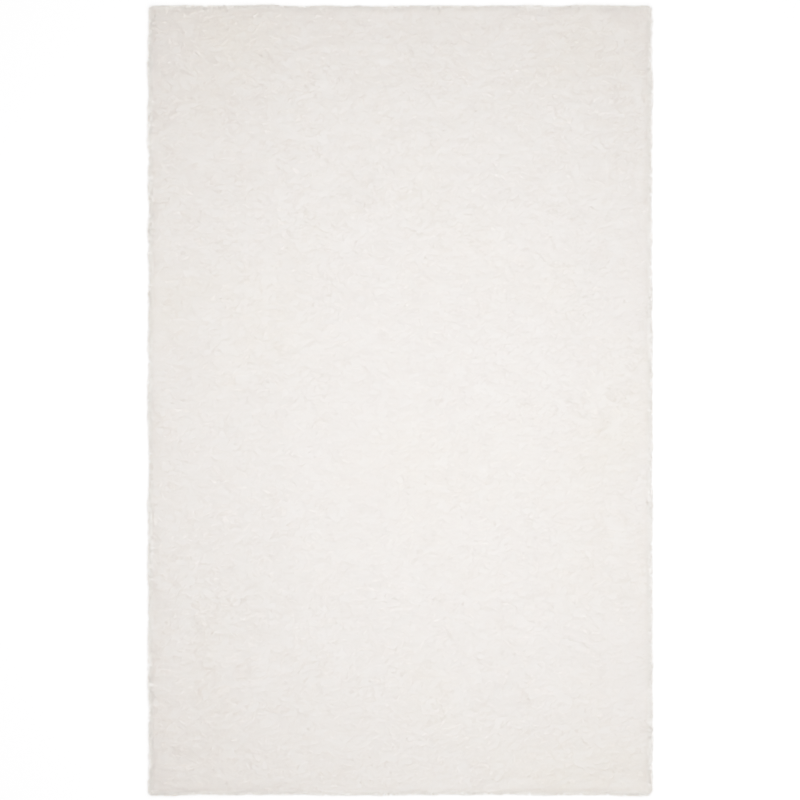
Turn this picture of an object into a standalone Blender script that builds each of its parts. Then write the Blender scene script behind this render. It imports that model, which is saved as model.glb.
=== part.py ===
"""A rectangular shag rug lying flat on the floor: one thick mat of combed pile with loose locks round its rim.

Units are metres, +Z is up, and the floor is z = 0. The origin is on the floor under the rug's centre.
X runs across the rug, the way the pile is combed, and Y runs along its length.
"""

import math
import random
from collections import namedtuple

import bmesh
import bpy
from mathutils import Vector, noise

# ---- Driving sizes -------------------------------------------------------------------------------
RUG_WIDTH = 1.558  # across X, over the tips of the locks
RUG_LENGTH = 2.438  # along Y, over the tips of the locks: 8 feet
PILE_HEIGHT = 0.029  # floor to the hollows between the tufts

# ---- The mat, without the locks at its rim --------------------------------------------------------
SIDE_REACH = 0.014  # the longest lock, past the mat's wall, on the two long sides
END_REACH = 0.010  # and on the two short ends, where the pile is combed along the edge
CORNER_RADIUS = 0.024
WALL_HALF = Vector((RUG_WIDTH / 2 - SIDE_REACH, RUG_LENGTH / 2 - END_REACH))

# The rounded shoulder: lines round the top, how far in from the wall, and their share of the pile's height.
ShoulderLine = namedtuple("ShoulderLine", "inset height_share")
SHOULDER = (
    ShoulderLine(inset=0.000, height_share=0.60),
    ShoulderLine(inset=0.012, height_share=0.85),
    ShoulderLine(inset=0.034, height_share=0.98),
)

# ---- The tufts: uneven lumps over the top, on long low waves of the pile --------------------------
TUFTS_ACROSS = 25
TUFTS_ALONG = 40
TUFT_STRAY = 0.22  # how far a tuft's corner strays, as a share of its side
TUFT_RISE = (0.0030, 0.0110)  # lowest and highest tuft above its own corners
WAVE_LENGTH = 0.20  # along X
WAVE_WIDTH = 0.12  # along Y
WAVE_RISE = 0.0055
TUFT_SEED = 4

# ---- The locks at the rim, from the wall to the tip, lying on the floor ---------------------------
# reach is a share of the lock's own length, and width a share of its root's.
LockSection = namedtuple("LockSection", "reach width height")
LOCK_SECTIONS = (
    LockSection(reach=0.60, width=0.80, height=0.0120),
    LockSection(reach=1.00, width=0.34, height=0.0035),
)
LOCK_WIDTH = 0.030  # an edge of the rim that is longer than this holds two locks
SHORTEST_LOCK = 0.76  # as a share of the longest
LONGEST_DRAW = 1.10  # lengths are drawn up to this share, and what is over the longest is cut back to it
SIDE_SWAY = 0.004  # how far a side lock's tip strays along the edge, either way
END_SWAY = 0.009  # how far an end lock's tip is combed towards +X
SWAY_LENGTH = 0.30  # neighbouring locks sway alike over about this distance
LOCK_SEED = 11

# ---- Finish ---------------------------------------------------------------------------------------
PILE_COLOUR = (0.90, 0.87, 0.84, 1.0)
PILE_ROUGHNESS = 0.95


def clear_scene():
    for old in list(bpy.data.objects):
        bpy.data.objects.remove(old, do_unlink=True)


def pile_yarn():
    """The matt ivory yarn of the whole rug."""
    material = bpy.data.materials.new("pile_yarn")
    material.use_nodes = True
    shader = material.node_tree.nodes["Principled BSDF"]
    shader.inputs["Base Color"].default_value = PILE_COLOUR
    shader.inputs["Roughness"].default_value = PILE_ROUGHNESS
    shader.inputs["Metallic"].default_value = 0.0
    return material


# ---- The top --------------------------------------------------------------------------------------
def grid_lines(half, tufts):
    """Places of the top's grid lines from -half to half: the shoulder's at both ends, even ones between."""
    shoulder = [line.inset for line in SHOULDER]
    inner = half - shoulder[-1]
    even = [-inner + 2 * inner * i / tufts for i in range(tufts + 1)]
    return [-half + inset for inset in shoulder[:-1]] + even + [half - inset for inset in reversed(shoulder[:-1])]


def height_share(inset):
    """The share of the pile's height at a distance in from the wall, read off the shoulder's lines."""
    for outer, inner in zip(SHOULDER, SHOULDER[1:]):
        if inset < inner.inset:
            along = max(0.0, inset - outer.inset) / (inner.inset - outer.inset)
            return outer.height_share + along * (inner.height_share - outer.height_share)
    return 1.0


def round_corner(x, y):
    """Draws the points near a corner in, so that the mat's square corner becomes a round one."""
    centre = WALL_HALF - Vector((CORNER_RADIUS, CORNER_RADIUS))
    past = Vector((abs(x), abs(y))) - centre
    if past.x <= 0 or past.y <= 0:
        return x, y
    past *= max(past) / past.length
    return math.copysign(centre.x + past.x, x), math.copysign(centre.y + past.y, y)


def lumpy_top(bm):
    """The top as an open sheet: tufts with raised middles on low waves, and a rounded shoulder round them."""
    xs, ys = grid_lines(WALL_HALF.x, TUFTS_ACROSS), grid_lines(WALL_HALF.y, TUFTS_ALONG)
    tuft_x, tuft_y = xs[len(SHOULDER)] - xs[len(SHOULDER) - 1], ys[len(SHOULDER)] - ys[len(SHOULDER) - 1]
    stray = random.Random(TUFT_SEED)
    bmesh.ops.create_grid(bm, x_segments=len(xs) - 1, y_segments=len(ys) - 1, size=0.5)
    for v in bm.verts:
        x = xs[round((v.co.x + 0.5) * (len(xs) - 1))]
        y = ys[round((v.co.y + 0.5) * (len(ys) - 1))]
        inset = min(WALL_HALF.x - abs(x), WALL_HALF.y - abs(y))
        wave = WAVE_RISE * noise.noise(Vector((x / WAVE_LENGTH, y / WAVE_WIDTH, TUFT_SEED)))
        if inset > SHOULDER[-1].inset + tuft_x / 2:
            x += tuft_x * stray.uniform(-TUFT_STRAY, TUFT_STRAY)
            y += tuft_y * stray.uniform(-TUFT_STRAY, TUFT_STRAY)
        v.co = (*round_corner(x, y), (PILE_HEIGHT + wave) * height_share(inset))
    inside = WALL_HALF - Vector((1, 1)) * SHOULDER[-1].inset
    tufts = [f for f in bm.faces if all(abs(a) < b for a, b in zip(f.calc_center_median(), inside))]
    middles = bmesh.ops.poke(bm, faces=tufts)["verts"]
    for v in sorted(middles, key=lambda v: (round(v.co.y, 5), v.co.x)):
        v.co.z += stray.uniform(*TUFT_RISE)


def close_below(bm):
    """Drops a wall from the top's edge to the floor and closes the underside.

    Returns the wall's faces in their order round the rim.
    """
    rim = [e for e in bm.edges if e.is_boundary]
    long_edges = [e for e in rim if e.calc_length() > LOCK_WIDTH]
    bmesh.ops.subdivide_edges(bm, edges=long_edges, cuts=1)
    rim = [e for e in bm.edges if e.is_boundary]
    dropped = bmesh.ops.extrude_edge_only(bm, edges=rim)["geom"]
    for v in (g for g in dropped if isinstance(g, bmesh.types.BMVert)):
        v.co.z = 0.0
    bmesh.ops.edgeloop_fill(bm, edges=[e for e in bm.edges if e.is_boundary])
    bmesh.ops.recalc_face_normals(bm, faces=bm.faces)
    wall = [(f.calc_center_median(), f) for f in dropped if isinstance(f, bmesh.types.BMFace)]
    return [f for middle, f in sorted(wall, key=lambda item: math.atan2(item[0].y, item[0].x))]


# ---- The locks ------------------------------------------------------------------------------------
def grow_lock(bm, face, lengths):
    """Draws one face of the wall out into a four-sided lock that narrows, droops and lies on the floor."""
    out = Vector((face.normal.x, face.normal.y, 0)).normalized()
    along = Vector((-out.y, out.x, 0))
    root = face.calc_center_median()
    half_width = max((v.co - root).dot(along) for v in face.verts)
    longest = math.hypot(SIDE_REACH * out.x, END_REACH * out.y)
    length = longest * min(1.0, lengths.uniform(SHORTEST_LOCK, LONGEST_DRAW))
    stray = noise.noise(Vector((root.x, root.y, 0)) / SWAY_LENGTH)
    sway = Vector((END_SWAY * out.y**2, SIDE_SWAY * stray * out.x**2, 0))
    for section in LOCK_SECTIONS:
        (face,) = bmesh.ops.extrude_discrete_faces(bm, faces=[face])["faces"]
        middle = face.calc_center_median()
        spine = root + (out * length + sway) * section.reach
        for v in face.verts:
            side = math.copysign(half_width * section.width, (v.co - middle).dot(along))
            height = section.height if v.co.z > middle.z else 0.0
            v.co = spine + along * side
            v.co.z = height


def shag():
    """The whole rug as one solid: the lumpy mat, with the locks fused to it all round."""
    bm = bmesh.new()
    lumpy_top(bm)
    lengths = random.Random(LOCK_SEED)
    for face in close_below(bm):
        grow_lock(bm, face, lengths)
    mesh = bpy.data.meshes.new("rug")
    bm.to_mesh(mesh)
    bm.free()
    mesh.materials.append(pile_yarn())
    rug = bpy.data.objects.new("rug", mesh)
    bpy.context.scene.collection.objects.link(rug)
    return rug


clear_scene()
print("rug size in mm:", [round(1000 * side, 1) for side in shag().dimensions])
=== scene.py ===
# %% [markdown]
# # A shag rug, lock by lock
#
# A shag rug is thousands of soft yarns that stand in a woven ground cloth. Each yarn is long enough to fall
# over, and its neighbours fall with it, so from above one sees the sides of lying locks, with dark creases
# between the clumps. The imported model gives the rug's true outline and height. This script dresses it with
# real locks of yarn.

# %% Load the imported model
import math
from collections import namedtuple

import bmesh
import bpy
import numpy as np
from mathutils import Matrix, Vector


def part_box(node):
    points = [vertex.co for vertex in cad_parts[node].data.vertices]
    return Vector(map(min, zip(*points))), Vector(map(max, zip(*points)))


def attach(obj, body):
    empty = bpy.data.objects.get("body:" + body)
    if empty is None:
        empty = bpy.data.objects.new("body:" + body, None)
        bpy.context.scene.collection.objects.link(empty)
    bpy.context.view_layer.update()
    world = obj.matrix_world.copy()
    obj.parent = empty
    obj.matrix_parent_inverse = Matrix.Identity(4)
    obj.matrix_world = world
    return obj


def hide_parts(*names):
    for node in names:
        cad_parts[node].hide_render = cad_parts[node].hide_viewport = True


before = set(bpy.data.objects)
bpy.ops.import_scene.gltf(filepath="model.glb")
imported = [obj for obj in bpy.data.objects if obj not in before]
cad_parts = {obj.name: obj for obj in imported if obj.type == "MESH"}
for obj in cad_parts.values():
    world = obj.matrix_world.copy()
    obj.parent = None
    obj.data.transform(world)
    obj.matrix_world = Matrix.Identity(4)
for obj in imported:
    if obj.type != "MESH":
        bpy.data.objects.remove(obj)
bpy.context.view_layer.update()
RUG_LOW, RUG_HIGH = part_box("rug")
HALF_WIDTH, HALF_LENGTH = RUG_HIGH[0], RUG_HIGH[1]
print("solids in the model:", list(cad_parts))
print("rug, in mm:", [round(1000 * (high - low), 1) for low, high in zip(RUG_LOW, RUG_HIGH)])

# %% [markdown]
# ## Camera
#
# The photograph looks straight down, so the rug fills the frame with its long side upright. The four edges
# of the rug in the 800 pixel frame say how many metres one pixel is and where the middle lies. A long lens
# keeps the edges parallel, as they are there.

# %% Camera
FRAME_PIXELS = 800
LEFT_EDGE, RIGHT_EDGE = 147.5, 653.0  # pixels in the photograph
TOP_EDGE, BOTTOM_EDGE = 4.5, 796.5
LENS_MM = 100
SENSOR_MM = 36
OUTLINE_HEIGHT = 0.012  # the rug is about its widest this far above the floor

pixel = 2 * HALF_LENGTH / (BOTTOM_EDGE - TOP_EDGE)
middle = FRAME_PIXELS / 2
camera_x = (middle - (LEFT_EDGE + RIGHT_EDGE) / 2) * pixel
camera_y = ((TOP_EDGE + BOTTOM_EDGE) / 2 - middle) * pixel
camera_z = OUTLINE_HEIGHT + pixel * FRAME_PIXELS * LENS_MM / SENSOR_MM

lens = bpy.data.cameras.new("camera")
lens.lens, lens.sensor_width = LENS_MM, SENSOR_MM
camera = bpy.data.objects.new("camera", lens)
camera.location = (camera_x, camera_y, camera_z)
bpy.context.scene.collection.objects.link(camera)
bpy.context.scene.camera = camera
print(f"one pixel is {1000 * pixel:.2f} mm, the camera is {camera_z:.2f} m up")

# %% [markdown]
# ## Light
#
# The rug is brightest just right of its middle and falls off evenly towards the corners, most at the top
# left. One broad softbox overhead does that, because its light meets the middle face on and the corners at
# a slant. It is as oblong as the rug, so that the short ends don't fall off too fast, and turned a little,
# because the top right corner is darker than the bottom right one. Around it the room is pale, and paler
# near the floor: there it stands for white walls and lights the rug's sides from all round.

# %% Softbox
LAMP_PLACE = Vector((0.21, -0.10, 2.4))
LAMP_SIDES = (1.4, 2.4)  # across the rug and along it
LAMP_WATTS = 71.6
LAMP_TURN = math.radians(18)

scene = bpy.context.scene
softbox = bpy.data.lights.new("softbox", "AREA")
softbox.shape, softbox.energy = "RECTANGLE", LAMP_WATTS
softbox.size, softbox.size_y = LAMP_SIDES
lamp = bpy.data.objects.new("softbox", softbox)
lamp.location = LAMP_PLACE
lamp.rotation_euler.z = LAMP_TURN
lamp.visible_camera = False
scene.collection.objects.link(lamp)
print(f"a softbox of {LAMP_SIDES[0]} by {LAMP_SIDES[1]} m hangs {LAMP_PLACE.z:.1f} m up")

# %% Room
OVERHEAD = 0.30  # brightness of the room above
HORIZON = 1.25  # and near the floor
FADE_HEIGHT = 0.35  # how high up the one has turned into the other, as a share of the way up

world = bpy.data.worlds.new("room")
world.use_nodes = True
backdrop = world.node_tree.nodes["Background"]
backdrop.inputs["Color"].default_value = (1, 1, 1, 1)
way = world.node_tree.nodes.new("ShaderNodeTexCoord")
split = world.node_tree.nodes.new("ShaderNodeSeparateXYZ")
fade = world.node_tree.nodes.new("ShaderNodeMapRange")
fade.inputs["From Max"].default_value = FADE_HEIGHT
fade.inputs["To Min"].default_value = HORIZON
fade.inputs["To Max"].default_value = OVERHEAD
world.node_tree.links.new(way.outputs["Generated"], split.inputs["Vector"])
world.node_tree.links.new(split.outputs["Z"], fade.inputs["Value"])
world.node_tree.links.new(fade.outputs["Result"], backdrop.inputs["Strength"])
scene.world = world

# %% [markdown]
# ## Floor
#
# The photograph's ground is pure white. A white floor alone would come out grey away from the lamp, so it
# glows a little as well. That glow would also light the rug's sides from below, brighter than its top, so
# the floor is left out of what diffuse light sees, and the pale room lights the sides instead. The rug's
# shadow still falls on it.

# %% Floor
FLOOR_HALF = 40
FLOOR_WHITE = (0.92, 0.92, 0.92, 1)
FLOOR_ROUGHNESS = 0.9
FLOOR_GLOW = 0.78

bm = bmesh.new()
bmesh.ops.create_grid(bm, x_segments=1, y_segments=1, size=FLOOR_HALF)
floor_mesh = bpy.data.meshes.new("floor")
bm.to_mesh(floor_mesh)
bm.free()
floor = bpy.data.objects.new("floor", floor_mesh)
scene.collection.objects.link(floor)
floor_finish = bpy.data.materials.new("floor")
floor_finish.use_nodes = True
floor_shader = floor_finish.node_tree.nodes["Principled BSDF"]
floor_shader.inputs["Base Color"].default_value = FLOOR_WHITE
floor_shader.inputs["Roughness"].default_value = FLOOR_ROUGHNESS
floor_shader.inputs["Emission Color"].default_value = (1, 1, 1, 1)
floor_shader.inputs["Emission Strength"].default_value = FLOOR_GLOW
floor_mesh.materials.append(floor_finish)
floor.visible_diffuse = False

# %% [markdown]
# ## Exposure
#
# The photograph is a high-key one: the white pile is exposed so far up that its brightest part is nearly
# flat, and only the darker corners keep their texture. A curve with a soft shoulder gives the same. It is
# straight up to the corners' brightness, then bends over, and what is brighter than the floor is pure
# white. Light bounces many times between white locks, so the bounces are raised, and a slightly wide pixel
# filter gives the photograph's soft grain.

# %% Soft shoulder
BRIGHTEST = 1.6  # scene brightness that comes out as white
SHOULDER = ((0.72, 0.72), (1.02, 0.87), (1.35, 0.96))  # scene brightness, and what it comes out as
BOUNCES = 16
DIFFUSE_BOUNCES = 10
PIXEL_FILTER = 2.4

scene.cycles.max_bounces = BOUNCES
scene.cycles.diffuse_bounces = DIFFUSE_BOUNCES
scene.cycles.filter_width = PIXEL_FILTER
view = scene.view_settings
view.view_transform = "Standard"
view.use_curve_mapping = True
tones = view.curve_mapping
tones.white_level = (BRIGHTEST, BRIGHTEST, BRIGHTEST)
all_colours = tones.curves[3]  # after the curves for red, green and blue alone
for bright, shown in SHOULDER:
    all_colours.points.new(bright / BRIGHTEST, shown)
tones.update()
print("tone curve:", [tuple(round(c, 2) for c in point.location) for point in all_colours.points])

# %% [markdown]
# ## Shader sums in plain Python
#
# Node trees are easier to read as sums. `Num` wraps one number socket, and each operator on it adds a Math
# node. `Finish` holds one material and adds any other node from its type, its settings and its inputs.


# %% Shader helper
class Num:
    """A number socket that +, -, *, abs, at_least and at_most work on."""

    def __init__(self, finish, socket):
        self.finish, self.socket = finish, socket

    def _math(self, operation, a, b):
        made = self.finish.node("ShaderNodeMath", {"operation": operation}, {0: a, 1: b})
        return Num(self.finish, made.outputs[0])

    def __add__(self, other):
        return self._math("ADD", self, other)

    def __sub__(self, other):
        return self._math("SUBTRACT", self, other)

    def __rsub__(self, other):
        return self._math("SUBTRACT", other, self)

    def __mul__(self, other):
        return self._math("MULTIPLY", self, other)

    __radd__, __rmul__ = __add__, __mul__

    def __abs__(self):
        return self._math("ABSOLUTE", self, 0.0)

    def at_least(self, other):
        return self._math("MAXIMUM", self, other)

    def at_most(self, other):
        return self._math("MINIMUM", self, other)


class Finish:
    """A material whose nodes are added one call at a time."""

    def __init__(self, name, **constants):
        self.material = bpy.data.materials.new(name)
        self.material.use_nodes = True
        self.tree = self.material.node_tree
        self.shader = self.tree.nodes["Principled BSDF"]
        for socket, value in constants.items():
            self.shader.inputs[socket.replace("_", " ")].default_value = value

    def node(self, kind, settings=None, inputs=None):
        """Adds a node, sets it up, then fills its input sockets with values or links."""
        made = self.tree.nodes.new(kind)
        for name, value in (settings or {}).items():
            setattr(made, name, value)
        for name, value in (inputs or {}).items():
            if isinstance(value, Num):
                value = value.socket
            if isinstance(value, bpy.types.NodeSocket):
                self.tree.links.new(value, made.inputs[name])
            else:
                made.inputs[name].default_value = value
        return made

    def attribute(self, name):
        return Num(self, self.node("ShaderNodeAttribute", {"attribute_name": name}).outputs["Fac"])

    def noise(self, vector, scale, detail=2.0):
        inputs = {"Vector": vector, "Scale": scale, "Detail": detail}
        return Num(self, self.node("ShaderNodeTexNoise", None, inputs).outputs["Fac"])

    def place(self):
        return self.node("ShaderNodeTexCoord").outputs["Object"]

    def xyz(self):
        split = self.node("ShaderNodeSeparateXYZ", None, {"Vector": self.place()})
        return [Num(self, split.outputs[axis]) for axis in "XYZ"]

    def stretched(self, vector, scale):
        return self.node("ShaderNodeMapping", None, {"Vector": vector, "Scale": scale}).outputs["Vector"]

    def blend(self, share, first, second, way="MIX"):
        settings = {"data_type": "RGBA", "blend_type": way}
        inputs = {"Factor": share, "A": first, "B": second}
        return self.node("ShaderNodeMix", settings, inputs).outputs["Result"]

    def feed(self, socket, value):
        self.tree.links.new(value.socket if isinstance(value, Num) else value, self.shader.inputs[socket])

    def bump(self, height, strength, distance):
        inputs = {"Strength": strength, "Distance": distance, "Height": height}
        self.feed("Normal", self.node("ShaderNodeBump", None, inputs).outputs["Normal"])


# %% [markdown]
# ## The shape that the pile follows
#
# Locks are easiest to lay out on a flat sheet. `fold` then bends that sheet over the rug: flat on top, and
# round a shoulder down to the floor along all four sides and corners. `lift` is how far a point stands off
# the sheet, so a lock that lies on the sheet drapes over the rim by itself.

# %% Fold a flat layout over the rug
PILE_TOP = 0.034  # the middle of the lying locks
SHOULDER_WIDTH = 0.018
RIM_ROOM = 0.002  # left for the locks that stand off the sheet at the rim
ARC = 0.5 * math.pi * math.sqrt((PILE_TOP**2 + SHOULDER_WIDTH**2) / 2)
FLAT_HALF = np.array([HALF_WIDTH, HALF_LENGTH]) - SHOULDER_WIDTH - RIM_ROOM
LAYOUT_HALF = FLAT_HALF + ARC
FLOOR_GAP = 0.0004
TINY = 1e-9  # keeps a length of nothing from being divided by


def past_flat(layout):
    """How far each place of the layout is past the flat top, and the way out from it."""
    past = np.sign(layout) * np.maximum(np.abs(layout) - FLAT_HALF, 0)
    far = np.linalg.norm(past, axis=-1, keepdims=True)
    return far[..., 0], past / np.maximum(far, TINY)


def held_back(layout, share):
    """Draws places that are further down the shoulder than a share of it back up to there."""
    far, out = past_flat(layout)
    return layout - out * np.maximum(far - ARC * share, 0)[..., None]


def fold(layout, lift):
    """Bends places of the layout, each lifted off it, over the rug's shoulder."""
    far, out = past_flat(layout)
    turn = np.minimum(far / ARC, 1) * math.pi / 2
    side = np.clip(layout, -FLAT_HALF, FLAT_HALF)
    side = side + out * (np.sin(turn) * (SHOULDER_WIDTH + lift))[..., None]
    up = np.cos(turn) * (PILE_TOP + lift)
    return np.concatenate([side, np.maximum(up, FLOOR_GAP)[..., None]], axis=-1)


print(f"the shoulder is {1000 * ARC:.0f} mm long from the flat top to the floor")

# %% [markdown]
# ## One lock
#
# A lock is a bundle of fibres that ends in a soft point. It is repeated tens of thousands of times, so it
# is a spike with three sides and a few joints. The cone operator makes it, and planes cut it into lengths.
# Its UV map unrolls it, with the root at the bottom, so that a finish can run along the fibres however the
# lock is bent.

# %% One lock
SIDES = 3
SIDE_TURN = 2 * math.pi / SIDES
CAP_PLACE, CAP_SPREAD = (0.5, 0.07), (0.4, 0.05)  # where the root's own end lies on the map, and how large
SIDE_MARGIN, ROOT_MARGIN, TIP_MARGIN = 0.04, 0.14, 0.04


def corner_on_map(face, point):
    """Where a corner of a face lies on the unrolled lock, from 0 to 1 both ways."""
    if face.normal.z < 0:  # the root's own end
        return CAP_PLACE[0] + CAP_SPREAD[0] * point.x, CAP_PLACE[1] + CAP_SPREAD[1] * point.y
    centre = face.calc_center_median()
    facing = math.atan2(centre.y, centre.x)
    side = (facing % (2 * math.pi)) // SIDE_TURN
    on_axis = math.hypot(point.x, point.y) < TINY
    turn = 0.0 if on_axis else math.remainder(math.atan2(point.y, point.x) - facing, 2 * math.pi)
    round_share = (side + 0.5 + turn / SIDE_TURN) / SIDES
    across = SIDE_MARGIN + (1 - 2 * SIDE_MARGIN) * round_share
    return across, ROOT_MARGIN + (1 - ROOT_MARGIN - TIP_MARGIN) * point.z


def spike(joints):
    """A unit lock along Z: its points, its faces and each face corner's place on the unrolled lock."""
    bm = bmesh.new()
    bmesh.ops.create_cone(bm, cap_ends=True, segments=SIDES, radius1=1, radius2=0, depth=1)
    bmesh.ops.translate(bm, verts=bm.verts, vec=(0, 0, 0.5))
    for joint in range(1, joints):
        geometry = bm.verts[:] + bm.edges[:] + bm.faces[:]
        bmesh.ops.bisect_plane(bm, geom=geometry, plane_co=(0, 0, joint / joints), plane_no=(0, 0, 1))
    bmesh.ops.recalc_face_normals(bm, faces=bm.faces)
    bm.verts.index_update()
    points = np.array([v.co[:] for v in bm.verts])
    faces = [[v.index for v in face.verts] for face in bm.faces]
    unrolled = np.array([corner_on_map(face, loop.vert.co) for face in bm.faces for loop in face.loops])
    bm.free()
    return points, faces, unrolled


lying = spike(joints=3)
hanging = spike(joints=4)
tendril = spike(joints=5)
for name, template in (("lying", lying), ("hanging", hanging), ("curling", tendril)):
    print(name, "lock:", len(template[0]), "points,", sum(len(face) - 2 for face in template[1]), "triangles")

# %% [markdown]
# ## Many locks in one mesh
#
# Tens of thousands of objects would be slow, and an Array modifier can't give each copy its own bend. So
# the copies are joined as number arrays: the spike's points are bent along every lock's own path at once. A
# lock keeps most of its width until near its tip, as a bundle of fibres does, and is pressed flat a little.
# Across, above and ahead are in the order of the spike's own axes, because in another order every copy
# would be turned inside out.

# %% Bend copies along their paths
STEP = 1e-3  # how far ahead a path is read for its direction, as a share of the lock
SAME = 1e-4  # points whose shares differ by less than this stand at the same joint
FULLNESS = 0.45  # below 1, a lock keeps its width longer than a cone does


def bent_copies(template, path, width, thickness):
    """Bends the spike along all paths. path(along) gives every lock's place at a share of its length."""
    points = template[0]
    bent = np.empty((len(width), len(points), 3))
    for station in np.unique(points[:, 2].round(6)):
        here = path(station)
        ahead = path(min(station + STEP, 1.0)) - path(min(station + STEP, 1.0) - STEP)
        ahead /= np.maximum(np.linalg.norm(ahead, axis=1, keepdims=True), TINY)
        across = np.cross((0, 0, 1), ahead)
        across /= np.maximum(np.linalg.norm(across, axis=1, keepdims=True), TINY)
        above = np.cross(ahead, across)
        taper = max(1 - station, 0.0)
        swell = taper**FULLNESS / taper if taper > SAME else 0.0
        for number in np.flatnonzero(np.abs(points[:, 2] - station) < SAME):
            side, rise = points[number, :2] * swell / 2
            bent[:, number] = here + across * (side * width)[:, None]
            bent[:, number] += above * (rise * thickness)[:, None]
    bent[:, :, 2] = np.maximum(bent[:, :, 2], FLOOR_GAP)
    return bent


# %% [markdown]
# Each lock gets its own small cell of the first UV map, so that colours can be baked, and a second map runs
# along its fibres. Two numbers ride on its points for the finish: its own tone, and how far along the lock
# the point is, from which the finish paints shade towards the root.


# %% Join the copies
STRAND_SHIFT = 0.731  # moves each lock's fibres along the pattern, so that no two are alike


def joined(name, template, bent, tone, finish):
    """One object from all the bent copies, with UV cells and attributes."""
    points, faces, unrolled = template
    count, size = len(bent), len(points)
    corners = np.concatenate([np.array(face) for face in faces])
    loops = (corners[None, :] + size * np.arange(count)[:, None]).ravel()
    sides = np.tile([len(face) for face in faces], count)
    mesh = bpy.data.meshes.new(name)
    mesh.vertices.add(count * size)
    mesh.vertices.foreach_set("co", bent.ravel().astype(np.float32))
    mesh.loops.add(len(loops))
    mesh.loops.foreach_set("vertex_index", loops.astype(np.int32))
    mesh.polygons.add(len(sides))
    mesh.polygons.foreach_set("loop_start", (np.cumsum(sides) - sides).astype(np.int32))
    mesh.update(calc_edges=True)
    mesh.polygons.foreach_set("use_smooth", np.ones(len(sides), bool))

    cells = math.ceil(math.sqrt(count))
    cell = np.stack([np.arange(count) % cells, np.arange(count) // cells], axis=1)
    atlas = (cell[:, None, :] + unrolled[None, :, :]) / cells
    mesh.uv_layers.new(name="OFBake").data.foreach_set("uv", atlas.ravel().astype(np.float32))
    strand = unrolled[None, :, :] + (np.arange(count) * STRAND_SHIFT)[:, None, None]
    mesh.uv_layers.new(name="strand").data.foreach_set("uv", strand.ravel().astype(np.float32))
    along = np.tile(points[:, 2], count)
    for attribute, values in (("tone", np.repeat(tone, size)), ("along", along)):
        layer = mesh.attributes.new(attribute, "FLOAT", "POINT")
        layer.data.foreach_set("value", values.astype(np.float32))
    mesh.materials.append(finish)
    made = bpy.data.objects.new(name, mesh)
    scene.collection.objects.link(made)
    return made


# %% [markdown]
# ## The pile's relief
#
# The locks lie in clumps that fell over together, so the surface is a field of low lumps, longer than wide,
# and a short dark crease opens here and there between them. Both the locks and the felt of fibres under
# them follow this one relief. It is a sum of soft random fields, each with its own length and width. The
# photograph's light is very soft, so small heights are enough: twice these would look like crushed paper.

# %% Relief
Ripple = namedtuple("Ripple", "rise length width seed")
SWELLS = Ripple(0.0030, 0.130, 0.070, 4)
LUMPS = Ripple(0.0018, 0.034, 0.015, 2)
STRANDS = Ripple(0.0003, 0.016, 0.006, 3)
CREASES = Ripple(0.0050, 0.026, 0.010, 5)
CREASE_START = 0.55  # only where its field is above this does a crease open
DRIFT = Ripple((0.010, 0.006), 0.090, 0.070, 1)  # shifts the lumps, so that they don't stand in rows
FIELD_REACH = 2.0  # the fields cover the layout from minus this to this, both ways


def soft_field(layout, length, width, seed):
    """Random values between -1 and 1 that change smoothly over a length along X and a width along Y."""
    pick = np.random.default_rng(seed)
    place = (layout + FIELD_REACH) / (length, width)
    node = np.floor(place).astype(int)
    x, y = np.moveaxis(place - node, -1, 0)
    x, y = x * x * (3 - 2 * x), y * y * (3 - 2 * y)  # eases in and out, so no corner shows between cells
    shape = [math.ceil(2 * FIELD_REACH / cell) + 2 for cell in (length, width)]
    values = pick.uniform(-1, 1, shape)
    column, row = np.moveaxis(node, -1, 0)
    near = values[column, row] * (1 - x) + values[column + 1, row] * x
    far = values[column, row + 1] * (1 - x) + values[column + 1, row + 1] * x
    return near * (1 - y) + far * y


def relief(layout):
    """How far the pile stands above its middle height."""
    drift = soft_field(layout, *DRIFT[1:])[..., None] * DRIFT.rise
    height = SWELLS.rise * soft_field(layout, *SWELLS[1:])
    height += LUMPS.rise * soft_field(layout + drift, *LUMPS[1:])
    height += STRANDS.rise * soft_field(layout - drift, *STRANDS[1:])
    crease = np.maximum(soft_field(layout + drift, *CREASES[1:]) - CREASE_START, 0)
    return height - CREASES.rise * crease


SAMPLES = 200  # places each way at which the relief is measured
sample = np.stack(np.meshgrid(*[np.linspace(-half, half, SAMPLES) for half in FLAT_HALF]), axis=-1)
heights = 1000 * relief(sample)
print(f"the relief goes from {heights.min():.1f} to {heights.max():.1f} mm")
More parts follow.
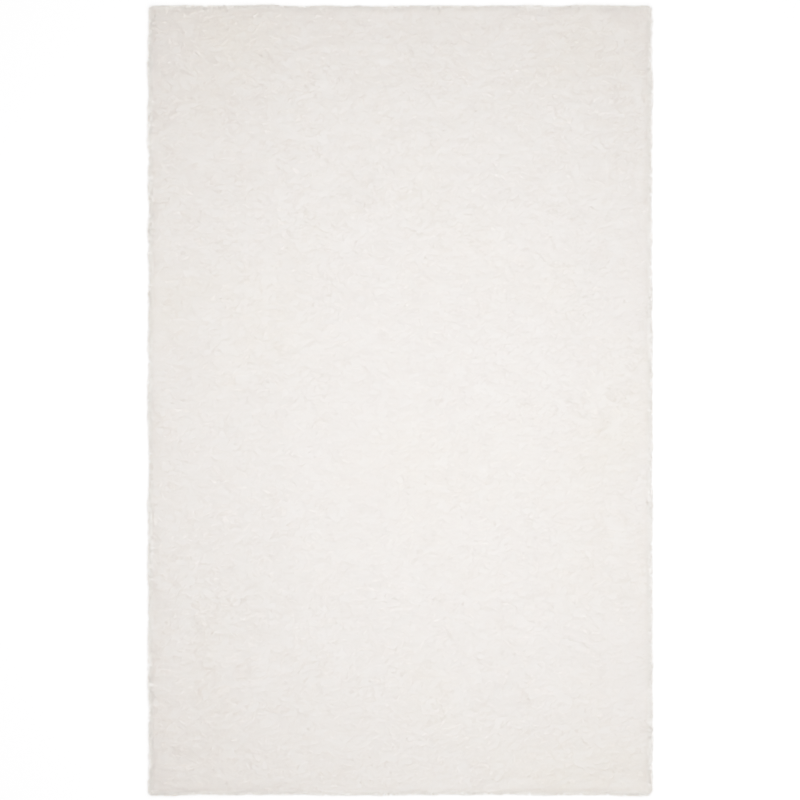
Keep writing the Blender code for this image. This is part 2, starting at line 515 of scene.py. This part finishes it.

# %% [markdown]
# ## The yarn
#
# The yarn is matt and ivory. Light goes into a bundle of fine fibres and comes out a few millimetres away,
# which is why white pile has hardly any dark shadows. That is what subsurface is for. The Burley method
# keeps the colour that is set, where a random walk would make it darker. Tips are a little paler than
# roots, which is painted shade where each lock comes up out of the pile. No two locks are quite alike,
# and here and there a large patch is warmer. On the shoulder the yarn is painted cooler and paler, but
# not down at the floor: painted light that takes out the warm cast of shade and bounces there. The fine
# fibres are a bump along the lock, and a thin sheen gives the fuzz at its edges. The felt between the
# locks has the same yarn, seen end on and matted.

# %% Yarn finish
SOFTNESS = 0.006  # how far light spreads between the fibres
# the darker ivory is both the yarn's darker random tone and the painted shade at each lock's root
DARK_IVORY_AND_ROOT_SHADE, TIP_IVORY = (0.82, 0.765, 0.717, 1), (0.89, 0.843, 0.805, 1)
# painted light: a paler, cooler ivory on the shoulder, which takes out the warm cast that shade and bounces
# give it there
RIM_PAINTED_LIGHT = (0.875, 0.854, 0.817, 1)
RIM_LIGHT_START, RIM_LIGHT_FADE = 0.024, 0.016  # the painted light's cooler tone starts this far in, and is full after the fade
RIM_LIGHT_LOW, RIM_LIGHT_RISE = 0.014, 0.014  # and it starts this far above the floor
PATCHES = (14.0, 30.0, 30.0)  # patches of tone to a metre: twice as long across the rug as they are wide
PATCH_SHADE, PATCH_START = 0.8, 0.3  # how much they change the shade, and what is taken off it for that
WARM_TINT = (1.0, 0.993, 0.962, 1)
WARM_PATCHES = 2.2  # to a metre
WARM_CONTRAST = 3.0
ROOT_PAINTED_SHADE, TONE_SHADE = 0.2, 0.4  # how much painted shade darkens a lock towards its root, and how much its tone differs from others
MATTED, MATTED_SHADE = 160.0, 0.5  # mottles of the felt to a metre, and how much they change its shade
LOCK_FIBRES = (60, 4, 1)  # on a lock's own map: many fibres round it, each nearly as long as it is
FELT_FIBRES = (90.0, 600.0, 600.0)  # to a metre
FIBRE_DETAIL = 3.0
LOCK_BUMP, FELT_BUMP = (0.3, 0.0005), (0.5, 0.0015)  # strength, and height in metres


def yarn_finish(name, shade):
    """An ivory yarn whose tone runs from the root's painted shade to the tip's as shade goes from 0 to 1."""
    finish = Finish(name, Roughness=0.9, Sheen_Weight=0.2, Sheen_Roughness=0.5, Subsurface_Weight=1.0,
                    Subsurface_Radius=(1, 1, 1), Subsurface_Scale=SOFTNESS)
    finish.shader.subsurface_method = "BURLEY"
    patches = finish.noise(finish.stretched(finish.place(), PATCHES), 1.0)
    ivory = finish.blend(shade(finish) + patches * PATCH_SHADE - PATCH_START, DARK_IVORY_AND_ROOT_SHADE, TIP_IVORY)
    warmth = (finish.noise(finish.place(), WARM_PATCHES, 1.0) - 0.5) * WARM_CONTRAST
    ivory = finish.blend(warmth, ivory, WARM_TINT, "MULTIPLY")
    x, y, z = finish.xyz()
    # painted light on the shoulder: past the start line the yarn turns to the paler, cooler ivory, but not
    # near the floor
    past_side = abs(x) - (HALF_WIDTH - RIM_LIGHT_START)
    past_end = abs(y) - (HALF_LENGTH - RIM_LIGHT_START)
    rim = past_side.at_least(past_end) * (1 / RIM_LIGHT_FADE)
    rim = rim.at_most((z - RIM_LIGHT_LOW) * (1 / RIM_LIGHT_RISE))
    finish.feed("Base Color", finish.blend(rim, ivory, RIM_PAINTED_LIGHT))
    return finish


# painted shade: the along part darkens each lock towards its root, where it comes up out of the pile; the
# tone part differs at random from lock to lock
def lock_tone_and_painted_root_shade(finish):
    return finish.attribute("along") * ROOT_PAINTED_SHADE + finish.attribute("tone") * TONE_SHADE


def felt_shade(finish):
    return finish.noise(finish.place(), MATTED) * MATTED_SHADE


yarn = yarn_finish("pile_yarn", lock_tone_and_painted_root_shade)
strand_map = yarn.node("ShaderNodeUVMap", {"uv_map": "strand"}).outputs["UV"]
yarn.bump(yarn.noise(yarn.stretched(strand_map, LOCK_FIBRES), 1.0, FIBRE_DETAIL), *LOCK_BUMP)

felt = yarn_finish("pile_felt", felt_shade)
felt.bump(felt.noise(felt.stretched(felt.place(), FELT_FIBRES), 1.0, FIBRE_DETAIL), *FELT_BUMP)
print("finishes:", [finish.material.name for finish in (yarn, felt)])

# %% [markdown]
# ## Where the lying locks stand
#
# A loom sets the yarns in rows, and brushing throws them over. Picking places quite at random would leave
# bald spots and heaps, so each lock is drawn anywhere in its own cell of a grid. The pile is combed across
# the rug, to the left in some patches and to the right in others, and each lock strays from its neighbours'
# way. Near an edge they all turn outwards and fall over it.

# %% Places and directions
LOCKS = 41500
LAST_ROOT = 0.6  # how far down the shoulder the last of these locks stand, as a share of it
TURN_DEPTH = 0.05  # this far in from the edge, the locks begin to turn outwards
EDGE_PULL = 1.5
BROAD_SWAY = Ripple(0.25, 0.110, 0.090, 11)  # in radians, either way
LOCAL_SWAY = Ripple(0.40, 0.030, 0.022, 12)
LOCK_SWAY = 0.55
FLIPS = Ripple(0.15, 0.060, 0.030, 13)  # where this field is above its rise, locks lie the other way round
FLIP_BLUR = 0.30  # the field strays this much from lock to lock, so that no bald line opens between patches
PILE_SEED = 7
draw = np.random.default_rng(PILE_SEED)


def scattered(count, reach, draw):
    """Even but random places: one in each cell of a grid over the layout, anywhere in its cell."""
    across = round(math.sqrt(count * reach[0] / reach[1]))
    along = round(count / across)
    column, row = np.meshgrid(np.arange(across), np.arange(along))
    column = (column + draw.random(column.shape)) / across
    row = (row + draw.random(row.shape)) / along
    return ((2 * np.stack([column, row], axis=-1) - 1) * reach).reshape(-1, 2)


def turned(way, turn):
    """Level directions turned by an angle each."""
    x, y = way[:, 0], way[:, 1]
    return np.stack([x * np.cos(turn) - y * np.sin(turn), x * np.sin(turn) + y * np.cos(turn)], axis=1)


def outward(layout, depth):
    """The way to the nearest edge, and how near that is: from 0 at a depth in from it to 1 at the edge."""
    pull = np.maximum(1 - (LAYOUT_HALF - np.abs(layout)) / depth, 0) ** 2
    way = np.sign(layout) * pull
    size = np.linalg.norm(way, axis=1, keepdims=True)
    return way / np.maximum(size, TINY), np.minimum(size, 1)


roots = scattered(LOCKS, FLAT_HALF + ARC * LAST_ROOT, draw)
roots = roots[past_flat(roots)[0] < ARC * LAST_ROOT]
swing = BROAD_SWAY.rise * soft_field(roots, *BROAD_SWAY[1:])
swing += LOCAL_SWAY.rise * soft_field(roots, *LOCAL_SWAY[1:])
flip = soft_field(roots, *FLIPS[1:]) + draw.normal(0, FLIP_BLUR, len(roots)) > FLIPS.rise
facing = swing + draw.normal(0, LOCK_SWAY, len(roots)) + math.pi * flip
out, near = outward(roots, TURN_DEPTH)
ways = np.stack([np.cos(facing), np.sin(facing)], axis=1) * (1 - near)
ways += turned(out, swing) * near * EDGE_PULL
ways /= np.linalg.norm(ways, axis=1, keepdims=True)
density = len(roots) / (4 * FLAT_HALF[0] * FLAT_HALF[1])
print(len(roots), "lying locks,", round(density), "to a square metre")

# %% [markdown]
# ## The lying locks
#
# Each lock comes up out of the felt, bends over, lies on the surface in a slight curl and dips at its tip.
# It follows the relief and the shoulder, because its path is laid on the flat layout and then folded. The
# rug is grown in four bands, so that no mesh gets too large to handle.

# %% Grow the pile
BANDS = 4
LOCK_LENGTH = 0.029
LOCK_WIDTH = 0.0027
LOCK_FLATNESS = 5 / 9  # thickness as a share of the width
UNEVEN = (0.75, 1.25)  # lengths and widths are drawn between these shares
CURL = 0.0050  # how far a tip strays to the side
LEVELS = 0.0005  # how far a lock lies above or below its neighbours
END_SHARE = 1 / 3  # the share of a lock, at either end, that slants up out of the pile or down into it
ROOT_DEPTH, TIP_DEPTH = 0.004, 0.0004
LAST_TIP = 0.8  # how far down the shoulder their tips may reach


def sinking(along):
    """How much of the depth at a lock's end is left at a share of its length from there."""
    return max(1 - along / END_SHARE, 0)


def grow(name, chosen):
    """All the locks of one band of the rug, as one piece."""
    root, way = roots[chosen], ways[chosen]
    side = turned(way, math.pi / 2)
    number = len(root)
    length = LOCK_LENGTH * draw.uniform(*UNEVEN, number)
    curl = draw.normal(0, CURL, number)
    level = draw.normal(0, LEVELS, number)

    def path(along):
        """Where each lock is at a share of its length: up from its root, over the pile and down again."""
        layout = root + way * (length * along)[:, None] + side * (curl * along**2)[:, None]
        layout = held_back(layout, LAST_TIP)
        sunk = ROOT_DEPTH * sinking(along) + TIP_DEPTH * sinking(1 - along)
        return fold(layout, relief(layout) + level - sunk)

    width = LOCK_WIDTH * draw.uniform(*UNEVEN, number)
    bent = bent_copies(lying, path, width, width * LOCK_FLATNESS)
    return joined(name, lying, bent, draw.random(number), yarn.material)


limits = np.quantile(roots[:, 1], np.linspace(0, 1, BANDS + 1))
band_of = np.clip(np.searchsorted(limits, roots[:, 1], side="right") - 1, 0, BANDS - 1)
pile = [grow(f"pile_{band + 1}", np.flatnonzero(band_of == band)) for band in range(BANDS)]
print("locks in each band:", [int((band_of == band).sum()) for band in range(BANDS)])

# %% [markdown]
# ## Where the rim locks stand
#
# Nothing holds the outermost yarns up, so they hang over the edge down to the floor, and they are what one
# sees of the rug from the side. They are rooted in a band along the whole rim and set twice as close as the
# others. None is longer than its own way to the floor.

# %% Rim places
RIM_DENSITY = 21000  # to a square metre of the flat layout
RIM_BAND = (0.008, 0.060)  # how far from the floor line they are rooted
RIM_LENGTH = (0.026, 0.044)
RIM_REACH = (0.90, 1.02)  # the longest a lock may be, as a share of its way to the floor
RIM_VIEW = 0.14  # depth over which the ways out of two sides blend at a corner
RIM_SEED = 31
rim_draw = np.random.default_rng(RIM_SEED)


def room_to_floor(layout):
    """How far each place of the layout is from the line where it meets the floor."""
    far = past_flat(layout)[0]
    return ARC - np.where(far > 0, far, (np.abs(layout) - FLAT_HALF).max(axis=-1))


rim_root = scattered(RIM_DENSITY * 4 * LAYOUT_HALF[0] * LAYOUT_HALF[1], LAYOUT_HALF, rim_draw)
room = room_to_floor(rim_root)
in_band = (room > RIM_BAND[0]) & (room < RIM_BAND[1])
rim_root, room = rim_root[in_band], room[in_band]
rim_count = len(rim_root)
rim_out = outward(rim_root, RIM_VIEW)[0]
rim_side = turned(rim_out, math.pi / 2)
rim_length = rim_draw.uniform(*RIM_LENGTH, rim_count)
rim_length = np.minimum(rim_length, room * rim_draw.uniform(*RIM_REACH, rim_count))
print(rim_count, "rim locks")

# %% [markdown]
# ## Tufts along the rim
#
# Neighbours at the rim cling together at their tips and part from the next lot, so a dark notch opens
# between two tufts just above the floor. The locks are numbered off along the rim, cut into tufts of uneven
# width, and the lower part of each lock is drawn towards the middle of its tuft. From above only the
# shoulder shows, so the outline stays as straight as in the photograph.

# %% Gather the tufts
TUFT_WIDTH = (0.016, 0.036)  # along the rim
TUFT_DRAW = 0.8  # how far the tips of a tuft are drawn together, as a share
TUFT_STRAY = 0.007  # how far a tuft's tip strays
TUFT_STAND = 0.0018  # how far the fattest tuft stands off the wall

foot = rim_root + rim_out * room[:, None]
order = np.argsort(np.arctan2(foot[:, 1], foot[:, 0]))
run = np.empty(rim_count)
run[order] = np.cumsum(np.linalg.norm(np.diff(foot[order], axis=0, prepend=foot[order][:1]), axis=1))
tuft_ends = np.cumsum(rim_draw.uniform(*TUFT_WIDTH, math.ceil(run.max() / TUFT_WIDTH[0])))
tuft = np.searchsorted(tuft_ends, run)
members = np.maximum(np.bincount(tuft), 1)
tuft_foot = np.stack([np.bincount(tuft, foot[:, axis]) / members for axis in (0, 1)], axis=1)
tuft_foot += rim_draw.uniform(-TUFT_STRAY, TUFT_STRAY, tuft_foot.shape)
aside = ((tuft_foot[tuft] - foot) * rim_side).sum(axis=1) * TUFT_DRAW * (rim_length / room) ** 2
stand = TUFT_STAND * rim_draw.random(len(tuft_foot))[tuft]
print(tuft.max() + 1, "tufts along", round(float(run.max()), 1), "m of rim")

# %% Grow the rim
RIM_WIDTH = (0.0024, 0.0038)
RIM_FLATNESS = 0.6  # thickness as a share of the width
RIM_LEVELS = 0.0006
RIM_SWAY = 0.003
RIM_ROOT_DEPTH = 0.006
RIM_END = 0.985  # they stop just above the floor
LATE = 1.6  # above 1, a lock is drawn to its tuft more in its lower part than in its upper part
BOW = 0.75 * math.pi  # this much of a sine wave: they stand off the wall most two thirds of the way along
rim_stand = stand + rim_draw.normal(0, RIM_LEVELS, rim_count)
rim_sway = rim_draw.normal(0, RIM_SWAY, rim_count)


def rim_path(along):
    """Out of the pile, over the shoulder and down the wall, drawn together towards the floor."""
    swung = aside * along**LATE + rim_sway * math.sin(math.pi * along)
    layout = rim_root + rim_out * (rim_length * along)[:, None] + rim_side * swung[:, None]
    layout = held_back(layout, RIM_END)
    off = rim_stand * math.sin(BOW * along) - RIM_ROOT_DEPTH * sinking(along)
    return fold(layout, relief(layout) + off)


rim_width = rim_draw.uniform(*RIM_WIDTH, rim_count)
bent = bent_copies(hanging, rim_path, rim_width, rim_width * RIM_FLATNESS)
rim_fringe = joined("rim_locks", hanging, bent, rim_draw.random(rim_count), yarn.material)
print("over the rim locks:", [round(1000 * side, 1) for side in rim_fringe.dimensions], "mm")

# %% [markdown]
# ## Stray curls
#
# Some fibres escape the combing and lie on top in small arcs and loops. The photograph shows them as pale
# hooks a few millimetres wide. Each is an arc of a circle on the layout that rises out of the pile and dips
# back in.

# %% Curls
CURLS = 1600
CURL_MARGIN = 0.01
CURL_TURN = (0.5, 4.5)  # radians, from a slight bow to most of a ring
CURL_LENGTH = (0.025, 0.050)
CURL_WIDTH = (0.0020, 0.0032)
CURL_RISE, CURL_DIP = 0.0014, 0.005
CURL_HOLD = 4  # the higher, the longer a curl stays up before its ends dip
CURL_SEED = 21
curl_draw = np.random.default_rng(CURL_SEED)
starts = (curl_draw.random((CURLS, 2)) * 2 - 1) * (FLAT_HALF - CURL_MARGIN)
aim = curl_draw.uniform(0, 2 * math.pi, CURLS)
bend = curl_draw.choice([-1, 1], CURLS) * curl_draw.uniform(*CURL_TURN, CURLS)
radius = curl_draw.uniform(*CURL_LENGTH, CURLS) / bend


def curl_path(along):
    """Arcs that rise out of the pile, lie on it and dip back in."""
    angle = aim + bend * along
    arc = np.stack([np.sin(angle) - np.sin(aim), np.cos(aim) - np.cos(angle)], axis=1)
    layout = starts + arc * radius[:, None]
    return fold(layout, relief(layout) + CURL_RISE - CURL_DIP * abs(2 * along - 1) ** CURL_HOLD)


curl_width = curl_draw.uniform(*CURL_WIDTH, CURLS)
bent = bent_copies(tendril, curl_path, curl_width, curl_width)
curls = joined("stray_curls", tendril, bent, curl_draw.random(CURLS), yarn.material)
print(CURLS, "curls")

# %% [markdown]
# ## The felt under the locks
#
# Between the lying locks one looks down on the matted lower half of the pile. A sheet just under the locks
# stands for it: a grid laid on the same layout, folded over the rug and closed underneath. At the floor it
# stands back, so that the notches between the tufts are deep and dark. `map_from_above` gives it, and the
# cloth later, a plain UV map.

# %% Map helper
MAP_SCALE, SMALL_SCALE = 0.39, 0.21  # shares of the map to a metre: the side that shows is mapped larger
LARGE_PLACE, SMALL_PLACE = (0.33, 0.50), (0.82, 0.30)


def map_from_above(layer, faces, middle, scale, flare=0.0):
    """Maps faces as seen from above. A flare spreads higher points out, so upright faces get an area."""
    for loop in (loop for face in faces for loop in face.loops):
        x, y, z = loop.vert.co
        spread = scale * (1 + flare * z)
        loop[layer].uv = (middle[0] + x * spread, middle[1] + y * spread)


# %% Felt
FELT_CELL = (0.0120, 0.0080)
FELT_DEPTH = 0.0010  # under the locks
FELT_RECESS = 0.008  # further in at the floor, behind the tufts
CLOTH_THICKNESS = 0.0015
CLOTH_MARGIN = 0.022  # from the rug's outline in to the cloth's edge
CLOTH_HALF = Vector((HALF_WIDTH - CLOTH_MARGIN, HALF_LENGTH - CLOTH_MARGIN))
CLOTH_TOP = FLOOR_GAP + CLOTH_THICKNESS
CLEARANCE = 0.0003  # between the cloth and the felt over it
FOOT_MARGIN = Vector((0.003, 0.003))
UNDERSIDE = CLOTH_HALF + FOOT_MARGIN  # where the felt's foot turns in, just round the cloth

bm = bmesh.new()
cells = [math.ceil(2 * half / cell) for half, cell in zip(LAYOUT_HALF, FELT_CELL)]
bmesh.ops.create_grid(bm, x_segments=cells[0], y_segments=cells[1], size=1)
bmesh.ops.transform(bm, matrix=Matrix.Diagonal((*LAYOUT_HALF, 1, 1)), verts=bm.verts)
beyond = [f for f in bm.faces if all(past_flat(np.array(v.co[:2]))[0] > ARC for v in f.verts)]
bmesh.ops.delete(bm, geom=beyond, context="FACES")
flat = held_back(np.array([v.co[:2] for v in bm.verts]), 1.0)
for v, place in zip(bm.verts, flat):
    v.co.xy = place
felt_map = bm.loops.layers.uv.new("OFBake")
map_from_above(felt_map, bm.faces, LARGE_PLACE, MAP_SCALE)
recess = FELT_RECESS * (past_flat(flat)[0] / ARC) ** 2
for v, place in zip(bm.verts, fold(flat, relief(flat) - FELT_DEPTH - recess)):
    v.co = place
for face in bm.faces:
    face.smooth = True
print(len(bm.faces), "faces of felt over the rug")

# %% Close the felt underneath
foot_half = [max(abs(v.co[axis]) for v in bm.verts) for axis in (0, 1)]
upper = set(bm.faces)
edges = [e for e in bm.edges if e.is_boundary]
ring = bmesh.ops.extrude_edge_only(bm, edges=edges)["geom"]
for v in (g for g in ring if isinstance(g, bmesh.types.BMVert)):
    v.co.x *= UNDERSIDE.x / foot_half[0]
    v.co.y *= UNDERSIDE.y / foot_half[1]
    v.co.z = CLOTH_TOP + CLEARANCE
bmesh.ops.edgeloop_fill(bm, edges=[e for e in bm.edges if e.is_boundary])
map_from_above(felt_map, [f for f in bm.faces if f not in upper], SMALL_PLACE, SMALL_SCALE)
bmesh.ops.recalc_face_normals(bm, faces=bm.faces)
felt_mesh = bpy.data.meshes.new("pile_felt")
bm.to_mesh(felt_mesh)
bm.free()
felt_mesh.materials.append(felt.material)
pile_felt = bpy.data.objects.new("pile_felt", felt_mesh)
scene.collection.objects.link(pile_felt)
print("felt:", [round(1000 * side, 1) for side in pile_felt.dimensions], "mm")

# %% [markdown]
# ## The ground cloth
#
# The yarns stand in a woven cloth, which shows only when the rug is turned over. It is a thin sheet with
# rounded corners, a little smaller than the pile's outline. Two sets of stripes multiplied give the over
# and under of a plain weave, for the colour and for the bump.

# %% Ground cloth
CLOTH_CORNER = 0.022
CORNER_STEPS = 6
MAP_FLARE = 7.0  # gives the cloth's thin wall an area on the map

bm = bmesh.new()
bmesh.ops.create_grid(bm, x_segments=1, y_segments=1, size=1)
bmesh.ops.transform(bm, matrix=Matrix.Diagonal((CLOTH_HALF.x, CLOTH_HALF.y, 1, 1)), verts=bm.verts)
bmesh.ops.bevel(bm, geom=bm.verts[:], affect="VERTICES", offset=CLOTH_CORNER, segments=CORNER_STEPS,
                profile=0.5, material=-1)
bmesh.ops.translate(bm, verts=bm.verts, vec=(0, 0, FLOOR_GAP))
raised = bmesh.ops.extrude_face_region(bm, geom=bm.faces[:])["geom"]
raised = [g for g in raised if isinstance(g, bmesh.types.BMVert)]
bmesh.ops.translate(bm, verts=raised, vec=(0, 0, CLOTH_THICKNESS))
bmesh.ops.recalc_face_normals(bm, faces=bm.faces)
cloth_map = bm.loops.layers.uv.new("OFBake")
map_from_above(cloth_map, [f for f in bm.faces if f.normal.z < 0.5], LARGE_PLACE, MAP_SCALE, MAP_FLARE)
map_from_above(cloth_map, [f for f in bm.faces if f.normal.z > 0.5], SMALL_PLACE, SMALL_SCALE)
cloth_mesh = bpy.data.meshes.new("ground_cloth")
bm.to_mesh(cloth_mesh)
bm.free()
cloth = bpy.data.objects.new("ground_cloth", cloth_mesh)
scene.collection.objects.link(cloth)
print("ground cloth:", [round(1000 * side, 1) for side in cloth.dimensions], "mm")

# %% Weave
CLOTH_BEIGE, CLOTH_PALE = (0.60, 0.54, 0.44, 1), (0.74, 0.69, 0.60, 1)
THREADS = 420.0  # to a metre
STRIPES = math.pi / 10  # the wave texture's scale for one stripe to a metre
WEAR_PATCHES = 40.0  # to a metre
WEAVE_SHADE, WEAR_SHADE = 0.6, 0.4  # how much of the tone comes from the threads, and how much from wear
WEAVE_BUMP = (0.6, 0.0008)  # strength, and height in metres

weave = Finish("ground_cloth", Roughness=0.95)
threads = []
for direction in ("X", "Y"):
    settings = {"wave_type": "BANDS", "bands_direction": direction}
    inputs = {"Vector": weave.place(), "Scale": THREADS / 2 * STRIPES, "Distortion": 0.0}
    threads.append(Num(weave, weave.node("ShaderNodeTexWave", settings, inputs).outputs["Fac"]) - 0.5)
over_under = threads[0] * threads[1] * 2 + 0.5
wear = weave.noise(weave.place(), WEAR_PATCHES)
shade = over_under * WEAVE_SHADE + wear * WEAR_SHADE
weave.feed("Base Color", weave.blend(shade, CLOTH_BEIGE, CLOTH_PALE))
weave.bump(over_under, *WEAVE_BUMP)
cloth_mesh.materials.append(weave.material)
print("a stripe of the weave is", round(2000 / THREADS, 1), "mm wide")

# %% [markdown]
# ## The pieces
#
# All pieces ride on the rug's one body and stand for its one solid.

# %% Size and finish
pile_pieces = [*pile, rim_fringe, curls, pile_felt]
for piece in [*pile_pieces, cloth]:
    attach(piece, "root")
    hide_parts("rug")
for piece in [*pile_pieces, cloth]:
    print(piece.name, "has", sum(len(face.vertices) - 2 for face in piece.data.polygons), "triangles")
